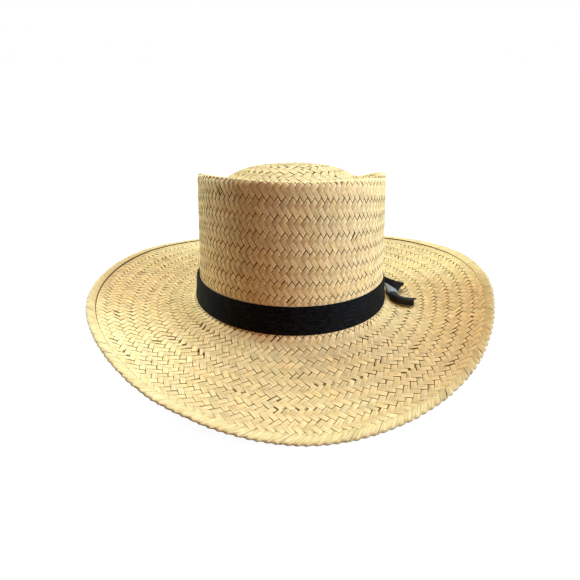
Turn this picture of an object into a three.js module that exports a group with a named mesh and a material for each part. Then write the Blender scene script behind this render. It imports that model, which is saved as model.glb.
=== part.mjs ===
// Gambler hat of woven palm straw, with a black ribbon band tied at its left side.
// Millimetres, +Z up. The front of the hat faces -Y and its left side, with the tie, is +X.
// The hat stands as it does by itself on a table: on the front and back arcs of its brim.
//
// The crown and brim are one woven sheet. Every ring of the sheet is an oval, and a place on it
// is found by its azimuth: 0 at the front, 90 at the left side (+X), 180 at the back.

import * as THREE from 'three';

// ---- driving dimensions ----

const HEAD_OVAL = { halfWidth: 86, halfLength: 99 };        // outside of the crown, above the band
const RIM_OVAL = { halfWidth: 81, halfLength: 92 };         // outside of the crown at its top
const RIM_HEIGHT = 107;                                     // above the foot of the crown
const RIM_FRONT_RISE = 10;                                  // the front of the rim is this much higher
const RIM_END_DIP = 1;                                      // front and back dip against the sides
const RIM_LEAN = 2;                                         // the rim lies this far to the front
const FOOT_FLARE = 1.5;                                     // the wall widens so much at its foot
const FLARE_HEIGHT = 12;                                    // and most of that below this height

const STRAW_THICKNESS = 2;
const BRIM_WIDTH = 97.5;                                    // along the surface, foot of crown to edge
const HEM_WIDTH = 8;                                        // the edge is folded back over the top
const HEM_THICKNESS = 1.6;

const TURN_SLOPE = 69;                                      // degrees, where the wall turns into the brim
const TURN_LENGTH = 5;                                      // along the surface, in which the turn fades

const BAND_HEIGHT = 21.5;
const BAND_THICKNESS = 1.2;
const BAND_FOOT = 0.5;                                      // lower edge of the band above the crown's foot
const FIT_GAP = 0.3;                                        // between pieces that touch

const KNOT = { halfWidth: 8, bulge: 4.2, edge: 1.2, foot: 2, top: 20.5 };
const TAIL_THICKNESS = 1;

const REST_PLANE = { atFront: -29.7, atBack: 1.66 };       // heights of the table under the brim's edge
const AROUND = 72;                                          // facets round the hat

// The brim's fall, in degrees below level, at the crown and at the edge, on twelve azimuths.
// A negative fall is a rise: the sides are rolled up, the left front most of all.
const BRIM_FALLS = [
  { azimuth: 0, atCrown: 23, atEdge: 7 },
  { azimuth: 30, atCrown: 22, atEdge: -11 },
  { azimuth: 60, atCrown: 11, atEdge: -39 },
  { azimuth: 90, atCrown: -5, atEdge: -33 },
  { azimuth: 120, atCrown: -10, atEdge: -21 },
  { azimuth: 150, atCrown: -10, atEdge: -9 },
  { azimuth: 180, atCrown: -9, atEdge: -3 },
  { azimuth: 210, atCrown: -11, atEdge: -7 },
  { azimuth: 240, atCrown: -12, atEdge: -14 },
  { azimuth: 270, atCrown: -7, atEdge: -17 },
  { azimuth: 300, atCrown: 2, atEdge: -18 },
  { azimuth: 330, atCrown: 15, atEdge: -4 },
];

// The top of the crown from its centre to the rim: share is the size of the oval ring against the
// rim's, and rise its height above the rim. A dome stands inside a groove and a narrow lip.
const TOP_SECTIONS = [
  { share: 0.22, rise: 9.4 },
  { share: 0.42, rise: 7.6 },
  { share: 0.58, rise: 4.6 },
  { share: 0.69, rise: 0.6 },
  { share: 0.77, rise: -3.8 },
  { share: 0.84, rise: -4.6 },
  { share: 0.90, rise: -2.2 },
  { share: 0.945, rise: -0.3 },
  { share: 0.98, rise: 0 },
  { share: 0.995, rise: -1.2 },
];
const DOME_RISE = 10;
const WALL_HEIGHTS = [104, 88, 66, 44, 22, 11, 5];
const BRIM_RUNS = [0, 2.5, 6, 12, 24, 38, 53, 68, 80];

// The upper tail: a ribbon folded along its length. Each row is a section across it: the crest
// of the fold, the foot of the leaf that faces out, and the foot of the leaf behind.
const UPPER_TAIL_SECTIONS = [
  { crest: [91.6, -8.6, 12.5], front: [92.0, -9.6, 5.0], behind: [96.2, -4.8, 5.4] },
  { crest: [97.4, -10.8, 11.2], front: [96.6, -12.6, 1.2], behind: [101.0, -5.6, 2.6] },
  { crest: [102.4, -13.0, 9.6], front: [99.4, -15.0, -0.6], behind: [106.0, -6.6, 1.4] },
  { crest: [107.4, -14.4, 8.2], front: [102.2, -16.2, -1.4], behind: [110.6, -7.6, 2.0] },
];

// The lower tail: a ribbon rolled into a tube that lies forward on the brim.
const LOWER_TAIL_SECTIONS = [
  { centre: [91.2, -10.6, 0.4], wide: 1.9, high: 1.7 },
  { centre: [91.2, -17.4, -0.2], wide: 3.0, high: 2.9 },
  { centre: [92.0, -26.6, 0.1], wide: 4.2, high: 4.1 },
  { centre: [94.6, -34.0, -0.2], wide: 4.6, high: 4.5 },
  { centre: [98.8, -39.2, -0.3], wide: 4.6, high: 4.4 },
  { centre: [103.8, -42.8, -0.5], wide: 4.1, high: 3.8 },
  { centre: [108.8, -44.2, -0.3], wide: 2.4, high: 2.4 },
];
const ROLL_SIDES = 10;

// ---- the woven sheet as a surface ----

const radians = THREE.MathUtils.degToRad;
const blend = THREE.MathUtils.lerp;

// A column of BRIM_FALLS at any azimuth, along a smooth closed curve through its rows.
function fallAt(column, azimuth) {
  const rows = BRIM_FALLS.length;
  const step = 360 / rows;
  const place = THREE.MathUtils.euclideanModulo(azimuth, 360) / step;
  const first = Math.floor(place);
  const u = place - first;
  const value = (offset) => BRIM_FALLS[(first + offset + rows) % rows][column];
  const [before, from, to, after] = [-1, 0, 1, 2].map(value);
  const leaving = (to - before) / 2;
  const arriving = (after - from) / 2;
  return from + u * leaving
    + u * u * (3 * (to - from) - 2 * leaving - arriving)
    + u * u * u * (leaving + arriving - 2 * (to - from));
}

// The unit vector that points straight out of the foot oval.
function outwardAt(azimuth) {
  const a = radians(azimuth);
  const halfWidth = HEAD_OVAL.halfWidth + FOOT_FLARE;
  const halfLength = HEAD_OVAL.halfLength + FOOT_FLARE;
  return new THREE.Vector3(Math.sin(a) / halfWidth, -Math.cos(a) / halfLength, 0).normalize();
}

function ovalPoint(azimuth, halfWidth, halfLength, height) {
  const a = radians(azimuth);
  return new THREE.Vector3(halfWidth * Math.sin(a), -halfLength * Math.cos(a), height);
}

// A point of the crown's wall, outside, at a height above the foot.
function wallPoint(azimuth, height, proud = 0) {
  const a = radians(azimuth);
  const share = height / RIM_HEIGHT;
  const flare = FOOT_FLARE * Math.exp(-height / FLARE_HEIGHT) + proud;
  const halfWidth = blend(HEAD_OVAL.halfWidth, RIM_OVAL.halfWidth, share) + flare;
  const halfLength = blend(HEAD_OVAL.halfLength, RIM_OVAL.halfLength, share) + flare;
  const rise = share * (RIM_FRONT_RISE * Math.cos(a) - RIM_END_DIP * Math.cos(2 * a));
  const point = ovalPoint(azimuth, halfWidth, halfLength, height + rise);
  point.y -= RIM_LEAN * share;
  return point;
}

// A point of the crown's top, on the oval ring of this share of the rim.
function topPoint(azimuth, share, rise) {
  const a = radians(azimuth);
  const tilt = share * RIM_FRONT_RISE * Math.cos(a) - share * share * RIM_END_DIP * Math.cos(2 * a);
  const point = ovalPoint(azimuth, RIM_OVAL.halfWidth * share, RIM_OVAL.halfLength * share, RIM_HEIGHT);
  point.y -= RIM_LEAN;
  point.z += rise + tilt;
  return point;
}

// A point of the brim's upper side, at a run along the surface from the foot of the crown.
function brimPoint(azimuth, run) {
  const stepLength = 1.25;
  const steps = Math.max(1, Math.round(run / stepLength));
  const step = run / steps;
  const inner = fallAt('atCrown', azimuth);
  const outer = fallAt('atEdge', azimuth);
  let reach = 0;
  let height = 0;
  for (let i = 0; i < steps; i++) {
    const at = (i + 0.5) * step;
    const plain = blend(inner, outer, at / BRIM_WIDTH);
    const fall = radians(blend(plain, TURN_SLOPE, Math.exp(-at / TURN_LENGTH)));
    reach += Math.cos(fall) * step;
    height -= Math.sin(fall) * step;
  }
  const point = wallPoint(azimuth, 0).addScaledVector(outwardAt(azimuth), reach);
  point.z += height;
  return point;
}

// ---- closed solids from rows of points ----

function solidFrom(points, triangles) {
  const geometry = new THREE.BufferGeometry();
  geometry.setAttribute('position', new THREE.Float32BufferAttribute(points.flatMap((p) => p.toArray()), 3));
  geometry.setIndex(triangles.flat());
  geometry.computeVertexNormals();
  return geometry;
}

// Rings of equal count, joined one to the next. With poles, the first and last ring are closed to
// a point each; with none, the last ring is joined to the first, as round a tyre.
function ringSolid(rings, poles = null) {
  const count = rings[0].length;
  const points = rings.flat();
  const triangles = [];
  const index = (ring, i) => (ring % rings.length) * count + (i % count);
  const joins = poles ? rings.length - 1 : rings.length;
  for (let ring = 0; ring < joins; ring++) {
    for (let i = 0; i < count; i++) {
      const [a, b, c, d] = [index(ring, i), index(ring, i + 1), index(ring + 1, i + 1), index(ring + 1, i)];
      triangles.push([a, c, b], [a, d, c]);
    }
  }
  if (poles) {
    const [start, end] = [points.length, points.length + 1];
    points.push(...poles);
    for (let i = 0; i < count; i++) {
      triangles.push([start, index(0, i), index(0, i + 1)]);
      triangles.push([end, index(rings.length - 1, i + 1), index(rings.length - 1, i)]);
    }
  }
  return solidFrom(points, triangles);
}

const azimuths = Array.from({ length: AROUND }, (_, i) => (i * 360) / AROUND);
const ring = (pointAt) => azimuths.map(pointAt);

// Points set in by the straw's thickness, square to the sheet that the rings make.
function insideOf(rings, pole) {
  const count = AROUND;
  return rings.map((row, r) => row.map((point, i) => {
    const before = r > 0 ? rings[r - 1][i] : pole;
    const after = r + 1 < rings.length ? rings[r + 1][i] : point;
    const outward = new THREE.Vector3().subVectors(after, before);
    const along = new THREE.Vector3().subVectors(row[(i + 1) % count], row[(i + count - 1) % count]);
    const normal = new THREE.Vector3().crossVectors(outward, along).normalize();
    return point.clone().addScaledVector(normal, -STRAW_THICKNESS);
  }));
}

// The facets of the brim's underside that touch the table lie flat on it.
const frontEdge = brimPoint(0, BRIM_WIDTH).y;
const backEdge = brimPoint(180, BRIM_WIDTH).y;
function standOnTable(point) {
  const table = THREE.MathUtils.mapLinear(point.y, frontEdge, backEdge, REST_PLANE.atFront, REST_PLANE.atBack);
  return point.z < table ? point.clone().setZ(table) : point;
}

// ---- the pieces ----

function strawBody() {
  const hemStart = BRIM_WIDTH - HEM_WIDTH;
  const crown = [
    ...TOP_SECTIONS.map(({ share, rise }) => ring((az) => topPoint(az, share, rise))),
    ...WALL_HEIGHTS.map((height) => ring((az) => wallPoint(az, height))),
  ];
  const brim = [...BRIM_RUNS, hemStart, BRIM_WIDTH].map((run) => ring((az) => brimPoint(az, run)));
  const sheet = [...crown, ...brim];
  const dome = new THREE.Vector3(0, -RIM_LEAN, RIM_HEIGHT + DOME_RISE);
  const inside = insideOf(sheet, dome);
  const lift = (row, height) => row.map((p) => new THREE.Vector3(p.x, p.y, p.z + height));
  const edgeRow = sheet.at(-1);
  const hemRow = sheet.at(-2);
  const outside = [...sheet.slice(0, -1), lift(hemRow, HEM_THICKNESS), lift(edgeRow, HEM_THICKNESS)];
  const under = inside.reverse().map((row) => row.map(standOnTable));
  const innerDome = dome.clone().setZ(dome.z - STRAW_THICKNESS);
  return ringSolid([...outside, ...under], [dome, innerDome]);
}

function hatBand() {
  const top = BAND_FOOT + BAND_HEIGHT;
  const heights = [top, 11, 5, BAND_FOOT];
  const near = heights.map((h) => ring((az) => wallPoint(az, h, FIT_GAP)));
  const far = heights.map((h) => ring((az) => wallPoint(az, h, FIT_GAP + BAND_THICKNESS)));
  return ringSolid([...far, ...near.reverse()]);
}

// A closed sheet: an upper and a lower grid of points joined along their borders.
function slab(upper, lower) {
  const rows = upper.length;
  const columns = upper[0].length;
  const points = [...upper.flat(), ...lower.flat()];
  const up = (r, c) => r * columns + c;
  const down = (r, c) => rows * columns + r * columns + c;
  const triangles = [];
  for (let r = 0; r + 1 < rows; r++) {
    for (let c = 0; c + 1 < columns; c++) {
      triangles.push([up(r, c), up(r, c + 1), up(r + 1, c + 1)], [up(r, c), up(r + 1, c + 1), up(r + 1, c)]);
      triangles.push([down(r, c), down(r + 1, c + 1), down(r, c + 1)], [down(r, c), down(r + 1, c), down(r + 1, c + 1)]);
    }
  }
  const side = (a, b) => triangles.push([up(...b), up(...a), down(...a)], [up(...b), down(...a), down(...b)]);
  for (let c = 0; c + 1 < columns; c++) {
    side([0, c], [0, c + 1]);
    side([rows - 1, c + 1], [rows - 1, c]);
  }
  for (let r = 0; r + 1 < rows; r++) {
    side([r + 1, 0], [r, 0]);
    side([r, columns - 1], [r + 1, columns - 1]);
  }
  return solidFrom(points, triangles);
}

// The turn of ribbon that holds the two tails: a small cushion on the band at the left side.
function bandKnot() {
  const steps = [-1, -0.75, -0.4, 0, 0.4, 0.75, 1];
  const face = FIT_GAP + BAND_THICKNESS + FIT_GAP;
  const spread = THREE.MathUtils.radToDeg(KNOT.halfWidth / HEAD_OVAL.halfWidth);
  const point = (u, v, proud) => wallPoint(90 + spread * u, blend(KNOT.foot, KNOT.top, (v + 1) / 2), proud);
  const bulge = (u, v) => KNOT.edge + KNOT.bulge * Math.sqrt((1 - u * u) * (1 - v ** 4));
  const outer = steps.map((v) => steps.map((u) => point(u, v, face + bulge(u, v))));
  const inner = steps.map((v) => steps.map((u) => point(u, v, face)));
  return slab(outer, inner);
}

function tailUpper() {
  const vector = (p) => new THREE.Vector3(...p);
  const half = TAIL_THICKNESS / 2;
  const sections = UPPER_TAIL_SECTIONS.map(({ crest, front, behind }) => {
    const [c, f, b] = [vector(crest), vector(front), vector(behind)];
    return [f, c.clone().lerp(f, 0.5), c.clone().lerp(f, 0.1), c.clone().lerp(b, 0.1), c.clone().lerp(b, 0.5), b];
  });
  const normalAt = (r, i) => {
    const row = sections[r];
    const across = new THREE.Vector3().subVectors(row[Math.min(i + 1, row.length - 1)], row[Math.max(i - 1, 0)]);
    const [from, to] = [sections[Math.max(r - 1, 0)][i], sections[Math.min(r + 1, sections.length - 1)][i]];
    return new THREE.Vector3().subVectors(to, from).cross(across).normalize();
  };
  const offset = (distance) => sections.map((row, r) => row.map((p, i) => p.clone().addScaledVector(normalAt(r, i), distance)));
  return slab(offset(-half), offset(half));
}

function tailLower() {
  const sections = LOWER_TAIL_SECTIONS;
  const centres = sections.map(({ centre }) => new THREE.Vector3(...centre));
  const up = new THREE.Vector3(0, 0, 1);
  const rings = sections.map(({ wide, high }, i) => {
    const along = centres[Math.min(i + 1, centres.length - 1)].clone().sub(centres[Math.max(i - 1, 0)]);
    const across = new THREE.Vector3().crossVectors(along, up).normalize();
    const over = new THREE.Vector3().crossVectors(across, along).normalize();
    return Array.from({ length: ROLL_SIDES }, (_, k) => {
      const turn = (k / ROLL_SIDES) * 2 * Math.PI;
      return centres[i].clone()
        .addScaledVector(across, wide * Math.cos(turn))
        .addScaledVector(over, high * Math.sin(turn));
    });
  });
  return ringSolid(rings, [centres[0], centres.at(-1)]);
}

// ---- materials and assembly ----

const straw = new THREE.MeshStandardMaterial({ color: 0xe3c48d, roughness: 0.62, metalness: 0 });
const ribbon = new THREE.MeshStandardMaterial({ color: 0x121113, roughness: 0.8, metalness: 0 });

function piece(name, geometry, material) {
  const mesh = new THREE.Mesh(geometry, material);
  mesh.name = name;
  return mesh;
}

const pieces = new THREE.Group();
pieces.add(
  piece('straw_body', strawBody(), straw),
  piece('hat_band', hatBand(), ribbon),
  piece('band_knot', bandKnot(), ribbon),
  piece('tail_upper', tailUpper(), ribbon),
  piece('tail_lower', tailLower(), ribbon),
);

// The table meets the brim's two arcs, so the whole hat leans back by this angle.
pieces.rotation.x = -Math.atan2(REST_PLANE.atBack - REST_PLANE.atFront, backEdge - frontEdge);
pieces.updateMatrixWorld(true);

// The origin is the middle of the foot of the hat's box.
const box = new THREE.Box3().setFromObject(pieces, true);
const middle = box.getCenter(new THREE.Vector3());
pieces.position.set(-middle.x, -middle.y, -box.min.z);

const hat = new THREE.Group();
hat.add(pieces);

export default hat;
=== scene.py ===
import math

import bpy
import numpy as np
from mathutils import Matrix, Vector


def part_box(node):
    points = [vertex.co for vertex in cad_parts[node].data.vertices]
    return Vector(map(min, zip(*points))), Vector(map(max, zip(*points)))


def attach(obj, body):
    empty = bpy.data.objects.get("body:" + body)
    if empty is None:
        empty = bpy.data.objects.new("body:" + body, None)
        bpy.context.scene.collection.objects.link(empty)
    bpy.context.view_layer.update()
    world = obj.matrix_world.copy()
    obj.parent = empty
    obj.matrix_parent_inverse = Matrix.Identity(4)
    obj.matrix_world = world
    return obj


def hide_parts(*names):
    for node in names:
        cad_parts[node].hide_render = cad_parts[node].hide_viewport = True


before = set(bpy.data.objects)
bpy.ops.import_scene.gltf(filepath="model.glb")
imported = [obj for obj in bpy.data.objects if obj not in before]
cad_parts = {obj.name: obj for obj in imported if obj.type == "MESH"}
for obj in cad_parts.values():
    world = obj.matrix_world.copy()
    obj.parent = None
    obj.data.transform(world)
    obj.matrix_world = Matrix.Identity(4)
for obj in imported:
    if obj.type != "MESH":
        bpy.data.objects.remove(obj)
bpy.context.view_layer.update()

# A gambler hat of woven palm straw. The surface is worked out in millimetres in the hat's own
# frame, with the foot of the crown at z = 0, and then set on the table as the solids are.
# A place on the sheet is (run, turn): run is the distance from the middle of the crown's top,
# over the rim, down the wall and out along the brim, and turn is the share of the way round the
# ring there, 0 at the front and a quarter at the wearer's left. Tables by azimuth give the way
# round in degrees, and each is read on a smooth closed curve through its rows.

MM = 0.001
SEED = 11
# Added to a length that is divided by, so that it is never nothing.
TINY = 1e-12

# ---- the sheet, in millimetres and degrees ----
HEAD_OVAL = (86.0, 99.0)
RIM_OVAL = (81.0, 92.0)
RIM_HEIGHT = 107.0
RIM_FRONT_RISE = 10.0
RIM_END_DIP = 1.0
RIM_LEAN = 2.0
RIM_ROUNDING = 3.0
FOOT_FLARE = 1.5
FLARE_HEIGHT = 12.0
BRIM_WIDTH = 97.5
TURN_SLOPE = 69.0
TURN_LENGTH = 5.0
STRAW_THICKNESS = 2.0
REST_AT_FRONT = -29.7
REST_AT_BACK = 1.66

# azimuth, fall of the brim at the crown, fall at its edge
BRIM_FALLS = np.array([
    (0, 23, 7), (30, 22, -11), (60, 11, -39), (90, -5, -33), (120, -10, -21), (150, -10, -9),
    (180, -9, -3), (210, -11, -7), (240, -12, -14), (270, -7, -17), (300, 2, -18), (330, 15, -4),
], float)
# azimuth, how much further the rim is bent up there. Down the wall this fades as a power of the height.
RIM_BENDS = np.array([
    (0, -1.1), (30, -0.2), (60, 0.9), (90, 1.7), (120, -3.0), (150, -3.8),
    (180, -4.0), (210, -3.8), (240, -2.5), (270, 2.4), (300, 2.1), (330, 0.4),
])
RIM_BEND_FADE = 4
# share of the rim's oval, rise above the rim: a dome in a groove behind a flat lip
TOP_PROFILE = np.array([
    (0.0, 11.4), (0.20, 10.7), (0.38, 8.7), (0.53, 5.2), (0.64, 0.8), (0.72, -3.2), (0.79, -4.8),
    (0.87, -3.2), (0.925, -0.5), (0.963, 0.0),
])

# The rings that the surface is first worked out on, the even grid that it is kept on, and how many
# steps a place may lie off that grid.
CENTRE_SHARE = 0.004
TOP_RINGS, RIM_RINGS, WALL_RINGS = 180, 8, 214
BRIM_STEP = 0.5
SPOTS = 720
RUN_STEP = 0.4
STEPS_BEFORE_CENTRE, STEPS_PAST_EDGE = 0.5, 30.0

# ---- the weave ----
# A row is a pair of bands, one leaning each way. Rows are numbered from the rim down the wall, and
# again from the foot out along the brim. Each row's place is start + step * row + change * row ** 2,
# as a height on the wall and as a run along the brim.
WALL_ROWS = (108.5, -12.75, 0.17)
WALL_BANDS = 20
BRIM_ROWS = (2.6, 11.75, -0.11)
BRIM_BANDS = 16
TOP_BANDS = 13
# azimuth, then how far the rows wander outwards from even rings high on the wall, low on the wall,
# by the crown, halfway out and near the edge
ROW_DRIFT = np.array([
    (0, -1.8, 0.3, -1.0, -1.0, -1.5), (30, 1.6, 2.2, 0.5, 0.0, 1.5), (60, 6.5, 1.4, -1.0, -0.5, 0.5),
    (90, 6.8, 0.5, 1.0, 3.0, 4.0), (120, 0.8, 0.0, 2.0, 0.0, 3.0), (150, -2.8, 0.0, 0.0, -1.0, 1.0),
    (180, -3.0, 0.0, 0.0, 0.0, 0.0), (210, -2.8, 0.0, 2.0, -1.5, 0.0), (240, -1.9, 0.0, 3.8, -4.0, 1.0),
    (270, 2.8, 0.8, 3.8, -0.8, 1.5), (300, -2.4, -2.6, 0.8, 5.5, 3.8), (330, -2.5, -2.2, 0.0, 3.5, 1.5),
])
# Those five places, as runs past the foot. The rows run even inside DRIFT_STARTS, a run on the top.
DRIFT_PLACES = (-100, -30, 15, 52, 80)
DRIFT_STARTS = 50.0
# azimuth, then how open the weave is on the top, at the rim, on the wall and on the brim
OPENNESS = np.array([
    (0, 1.0, 0.0, 0.9, 0.7), (30, 1.0, 0.3, 1.0, 1.0), (60, 1.0, 1.0, 1.1, 1.4), (90, 1.0, 1.0, 1.4, 1.5),
    (120, 1.0, 0.6, 1.3, 1.2), (150, 1.0, 0.3, 1.0, 1.0), (180, 1.0, 0.3, 1.0, 1.0),
    (210, 1.0, 0.3, 1.1, 1.3), (240, 1.0, 0.3, 1.4, 1.6), (270, 1.0, 0.3, 1.5, 1.7),
    (300, 1.0, 0.1, 1.3, 1.3), (330, 1.0, 0.0, 1.0, 0.8),
])
# The runs past the foot at which the top, the rim, the wall's two ends and the brim have it.
OPENNESS_PLACES = (-122, -108, -98, 0, 10)
# azimuth, then painted light and shade as red, green and blue factors on the wall, and the same on the brim:
# lighter or darker round the hat as the light falls there
STRAW_PAINTED_LIGHT = np.array([
    (0, 0.93, 0.88, 0.87, 1.07, 1.02, 1.01), (30, 0.98, 0.91, 0.91, 1.07, 1.03, 1.02),
    (60, 0.90, 0.87, 0.86, 1.21, 1.18, 1.15), (90, 0.90, 0.90, 0.90, 1.14, 1.13, 1.12),
    (120, 0.90, 0.90, 0.90, 1.01, 0.99, 0.98), (150, 0.90, 0.90, 0.90, 0.97, 0.95, 0.94),
    (180, 0.90, 0.90, 0.90, 0.98, 0.97, 0.97), (210, 0.90, 0.90, 0.90, 1.10, 1.10, 1.10),
    (240, 1.00, 1.00, 1.00, 1.18, 1.19, 1.18), (270, 1.13, 1.12, 1.11, 1.26, 1.26, 1.26),
    (300, 0.97, 0.93, 0.91, 1.22, 1.23, 1.22), (330, 0.84, 0.80, 0.78, 1.06, 1.01, 1.00),
])
PAINTED_LIGHT_COLUMNS = {"wall": (1, 2, 3), "brim": (4, 5, 6)}
TOP_TONE = 1.0
# The strands over the rim get a painted highlight, paler by this much, fading over this many millimetres.
RIM_PAINTED_HIGHLIGHT, RIM_HIGHLIGHT_SPREAD = 0.24, 4.5

# How many strands of each direction go round: by run along the brim, and by share of the rim's oval.
BRIM_STRANDS = ((0, 112), (16, 114), (98, 192))
WALL_STRANDS = 112
TOP_STRANDS = (
    (0.05, 8), (0.12, 12), (0.2, 16), (0.35, 26), (0.6, 44), (0.75, 58), (0.88, 88), (1.0, 112))
# Where strands come in, and how far the crossings are then evened out and stand out of line.
GAP_LUCK = (0.6, 1.4)
EVENING_STEPS, EVENING_SHARE = 3, 0.28
CROSSING_SPREAD = 0.022

# ---- one strand's float, the stretch of it that shows ----
# Along one float, from its snug end to its open end:
# station, lift, share of the full width, painted shade of the tuck, painted light and shade along it, how
# far its painted outline shows.
# It crosses two strands, at stations 0 and 1, and goes under the next at -0.5 and 1.5.
FLOAT_SHAPE = np.array([
    (-0.62, -0.20, 1.01, 0.10, 0.80, 0.0), (-0.16, 0.08, 1.00, 0.0, 0.95, 0.1),
    (1.00, 0.20, 0.97, 0.0, 1.02, 1.0), (1.34, 0.14, 0.93, 0.0, 1.12, 1.0),
    (1.38, 0.04, 0.92, 0.9, 0.9, 1.0), (1.45, -0.34, 0.91, 1.0, 0.8, 1.0),
    (1.85, -0.62, 0.88, 1.0, 0.8, 1.0),
])
# The same for a float whose snug end lies over its neighbours and shows as a pale ridge, raised and with a
# painted highlight.
RIDGED_SHAPE = np.concatenate([[
    (-0.56, -0.30, 0.98, 0.5, 0.8, 1.0), (-0.47, 0.06, 0.98, 0.0, 1.5, 1.0),
    (-0.36, 0.19, 0.99, 0.0, 1.5, 1.0), (-0.27, 0.18, 1.00, 0.0, 0.97, 0.9),
], FLOAT_SHAPE[2:]])
# The same on the brim, where a wide gap shows the light strand below.
BRIM_SHAPE = np.concatenate([
    [(-0.85, -0.36, 1.01, 0.1, 0.85, 0.0)], FLOAT_SHAPE[1:-2],
    [(1.45, -0.34, 0.91, 1.0, 0.8, 1.0), (1.72, -0.55, 0.94, 0.6, 0.9, 0.0)],
])
# The same inside the hat, with fewer stations.
INNER_SHAPE = FLOAT_SHAPE[[0, 1, 3, 5, 6]]
# Across a float, from its inner edge to its outer edge: share of half its width, lift, painted light (darker
# at the inner edge, a highlight at the outer), painted shade on the edges' sides.
# The edge's side is its own strip, so that its corner stays sharp.
STRAND_SECTION = np.array([
    (-1.0, -0.5, 0.8, 1.0), (-1.0, -0.10, 0.8, 0.8), (-1.0, -0.10, 0.70, 0.35), (-0.84, -0.02, 0.98, 0.0),
    (0.80, 0.08, 1.02, 0.0), (1.0, 0.02, 1.28, 0.0), (1.0, 0.02, 0.9, 0.6), (1.0, -0.5, 0.8, 1.0),
])
# The same inside the hat: share of half its width, lift, painted light, painted shade.
INNER_SECTION = np.array([
    (-1.0, -0.08, 0.9, 0.2), (-0.4, 0.05, 1.0, 0.0), (0.4, 0.05, 1.0, 0.0), (1.0, -0.08, 0.95, 0.2),
])
INNER_FACE, INNER_RELIEF = 1.75, 0.8
# For each part of the sheet: how steep its floats are beside the strands' true slope, how much of
# their painted outline of light and shade shows at the snug end, the share of split, thin strands, how
# much painted outline the floats have whose turn gets less outwards, and the contrast of the painted
# edges and of the strands' tones.
LOOKS = {
    "top": (0.9, 0.6, 0.0, 0.7, 1.0),
    "wall": (0.84, 0.40, 0.002, 1.0, 1.9),
    "brim": (0.88, 0.10, 0.03, 0.4, 1.9),
}
# The turn at which those floats have as much painted outline as the others, fading out a quarter turn off.
SAME_OUTLINE_AT = 0.69
# Past MOST_OPEN a gap only gets more painted shade, and its strands draw apart no more.
MOST_OPEN = 1.3
OPEN_END = 1.3
END_DRAWN_BACK = 0.06
# How much painted tuck shade a gap keeps when it is shut.
TUCK_SHADE_WHEN_SHUT = 0.45
STEEPEST_CUT = 1.1
STRAND_GAP = 0.01
# What a strand's room is made of: a share of the gap at each side of it, and of the narrower one.
EACH_GAP, NARROWER_GAP = 0.3, 0.4
WIDEST_STRAND = 5.7
# From and to, as shares: how a strand fills its room, its widest, how open one gap is, and how wide
# a thin strand is.
FILLS, WIDEST_LUCK, OPEN_LUCK, THIN_LUCK = (0.95, 1.0), (0.95, 1.03), (0.5, 1.4), (0.55, 0.8)
# Least and most of the painted outline that shows.
OUTLINE_LIMITS = (0.3, 1.6)
# How far strands wander sideways, lie high or low, and roll, in millimetres and as a slope.
WANDER_SPREAD, LIFT_SPREAD, ROLL_SPREAD = 0.05, 0.03, 0.00875
# The fibres of each strand are taken from a place of their own in a field this wide.
FIBRE_FIELD = 400
# Free room round each strand's cell of its flat map, as a share of the cell.
CELL_MARGIN = 0.06

# How strands differ in lightness and warmth, and three rare kinds of them: from and to, as shares of
# all strands, and how much.
LIGHTNESS_SPREAD, WARMTH_SPREAD = 0.028, 0.008
DARK_KIND, GREEN_KIND, PINK_KIND = (0.0, 0.03, 0.9), (0.05, 0.07, 0.015), (0.09, 0.115, 0.03)
WARM_TINT, GREEN_TINT, PINK_TINT = (1.0, 0.0, -2.2), (-1.0, 0.6, -1.0), (1.0, -0.4, 0.0)

# ---- the crown's centre and the painted shadow inside the sheet ----
CENTRE_HOLE, CENTRE_ROUND = 2.2, 5.0
CENTRE_SPOTS, CENTRE_SAG, CENTRE_DEPTH = 13, 0.4, 0.1
CORE_RINGS, CORE_SPOTS = 130, 180
CORE_STARTS, CORE_SHORT_OF_EDGE = 1.0, 0.8
CORE_FACES = (-0.85, -1.15)

# ---- the hem ----
# run past the hem line, lift, painted light and shade (darker round the edge and underneath): over the top,
# round the edge and back underneath
HEM_PATH = np.array([
    (-3.4, -0.60, 0.9), (-0.4, 0.04, 0.97), (0.2, 0.10, 0.97), (0.7, 0.36, 1.06), (3.0, 0.46, 1.0),
    (6.4, 0.46, 1.03), (7.6, 0.15, 1.06), (8.2, -0.55, 0.9), (8.25, -1.1, 0.45), (7.5, -1.65, 0.40),
    (5.6, -1.9, 0.8), (2.5, -1.9, 1.0), (-0.5, -1.7, 0.9),
])
HEM_FOLD_ROW = 2
# azimuth, how dark the painted shadow line along the fold's inner edge is
HEM_FOLD_SHADOW = np.array([
    (0, 0.05), (30, 0.05), (60, 0.05), (90, 0.4), (120, 0.9), (150, 1.0), (180, 0.9), (210, 1.0),
    (240, 1.0), (270, 0.7), (300, 0.2), (330, 0.05),
])
# Across a strip of the hem: share of half its width, lift, painted light, painted shade on its edges.
HEM_SECTION = np.array([
    (-1.0, -0.4, 0.85, 0.75), (-1.0, -0.06, 0.88, 0.4), (-1.0, -0.06, 0.86, 0.05),
    (-0.75, -0.02, 0.98, 0.0), (0.8, 0.05, 1.0, 0.0), (1.0, 0.01, 1.12, 0.0),
    (1.0, 0.01, 0.9, 0.4), (1.0, -0.4, 0.85, 0.75),
])
HEM_STRIPS = 192
# How far a strip goes round for each millimetre along its path, and, because it leans, how much of
# its width lies along the path and how much round the hat.
HEM_LEAN, WIDTH_ALONG, WIDTH_ROUND = 0.92, 0.68, 0.73
HEM_PLACE_SPREAD, HEM_WIDTHS = 0.05, (0.99, 1.06)
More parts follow.
